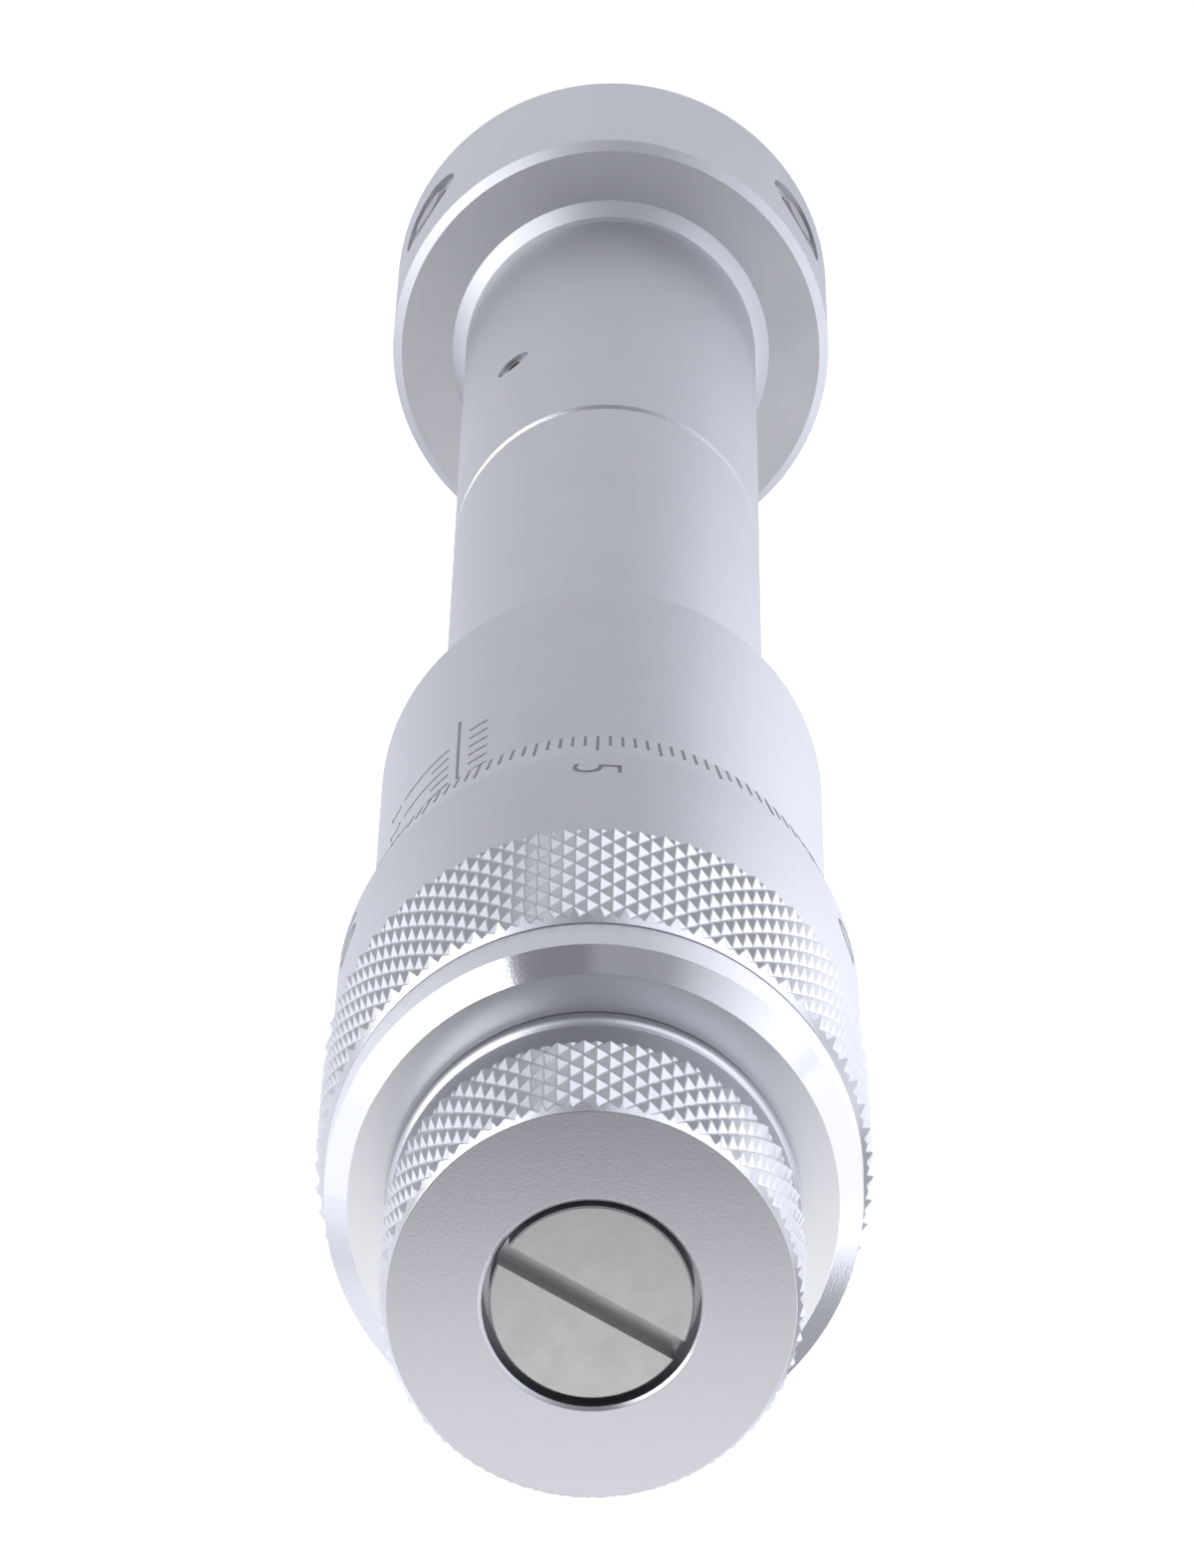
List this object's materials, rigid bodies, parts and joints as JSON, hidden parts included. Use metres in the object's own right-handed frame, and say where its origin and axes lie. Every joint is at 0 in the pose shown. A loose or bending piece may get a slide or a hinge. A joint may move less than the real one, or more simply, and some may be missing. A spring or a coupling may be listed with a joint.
{
  "type": "three-point inside micrometer",
  "caption": "Three-point inside micrometer: knurled ratchet knob and thimble, graduated sleeve, long tube and a round measuring head with three anvils spread by a cone.",
  "frame": {"origin": "centre of the flat end face of the measuring head, which the tool stands on", "axes": "+Z along the tool axis from the measuring head to the ratchet knob; -Y is the side towards the camera in the picture; the first anvil points to +Y"},
  "size_m": [0.0252, 0.0252, 0.163],
  "materials": {
    "satin_chrome": "satin chrome plating",
    "plated_screw": "dull nickel",
    "ground_steel": "ground",
    "hard_metal": "lapped",
    "dark_steel": "blackened",
    "spring_steel": "drawn wire"
  },
  "bodies": {
    "frame": {"head_body": "satin_chrome", "head_cover": "satin_chrome", "cover_screws": "dark_steel", "front_tube": "satin_chrome", "head_set_screw": "ground_steel", "rear_tube": "satin_chrome", "scale_sleeve": "satin_chrome", "spindle_nut": "ground_steel", "adjusting_nut": "ground_steel", "return_spring": "spring_steel", "anvil_spring_1": "spring_steel", "anvil_spring_2": "spring_steel", "anvil_spring_3": "spring_steel"},
    "cone_rod": {"measuring_cone": "ground_steel", "push_rod": "ground_steel", "thrust_ball": "ground_steel"},
    "thimble": {"spindle": "ground_steel", "thimble": "satin_chrome", "thimble_cap": "satin_chrome", "ratchet_seat": "ground_steel", "ratchet_screw": "plated_screw"},
    "ratchet_knob": {"ratchet_knob": "satin_chrome", "ratchet_spring": "spring_steel"},
    "ratchet_wheel": {"ratchet_wheel": "ground_steel"},
    "anvil_1": {"anvil_1": "ground_steel", "anvil_tip_1": "hard_metal"},
    "anvil_2": {"anvil_2": "ground_steel", "anvil_tip_2": "hard_metal"},
    "anvil_3": {"anvil_3": "ground_steel", "anvil_tip_3": "hard_metal"}
  },
  "joints": [
    {"name": "rod_feed", "type": "slide", "parent": "frame", "child": "cone_rod", "axis": [0, 0, -1], "range_m": [0, 0.00698], "deforming": ["return_spring"]},
    {"name": "thimble_turn", "type": "hinge", "parent": "cone_rod", "child": "thimble", "pos_m": [0, 0, 0.132], "axis": [0, 0, -1], "range_deg": [0, 3960.5]},
    {"name": "knob_spin", "type": "hinge", "parent": "thimble", "child": "ratchet_knob", "pos_m": [0, 0, 0.157], "axis": [0, 0, -1], "continuous": true},
    {"name": "ratchet_lift", "type": "slide", "parent": "ratchet_knob", "child": "ratchet_wheel", "axis": [0, 0, 1], "range_m": [0, 0.0009], "stiffness_N_per_m": 300, "springref_m": -0.0002, "deforming": ["ratchet_spring"]},
    {"name": "anvil_1_reach", "type": "slide", "parent": "frame", "child": "anvil_1", "axis": [0, 1, 0], "range_m": [0, 0.00349], "deforming": ["anvil_spring_1"]},
    {"name": "anvil_2_reach", "type": "slide", "parent": "frame", "child": "anvil_2", "axis": [-0.866, -0.5, 0], "range_m": [0, 0.00349], "deforming": ["anvil_spring_2"]},
    {"name": "anvil_3_reach", "type": "slide", "parent": "frame", "child": "anvil_3", "axis": [0.866, -0.5, 0], "range_m": [0, 0.00349], "deforming": ["anvil_spring_3"]}
  ],
  "couplings": [
    {"joint": "thimble_turn", "follows": "rod_feed", "rad_per_m": 9894.8},
    {"joint": "anvil_1_reach", "follows": "rod_feed", "ratio": 0.5},
    {"joint": "anvil_2_reach", "follows": "rod_feed", "ratio": 0.5},
    {"joint": "anvil_3_reach", "follows": "rod_feed", "ratio": 0.5}
  ]
}
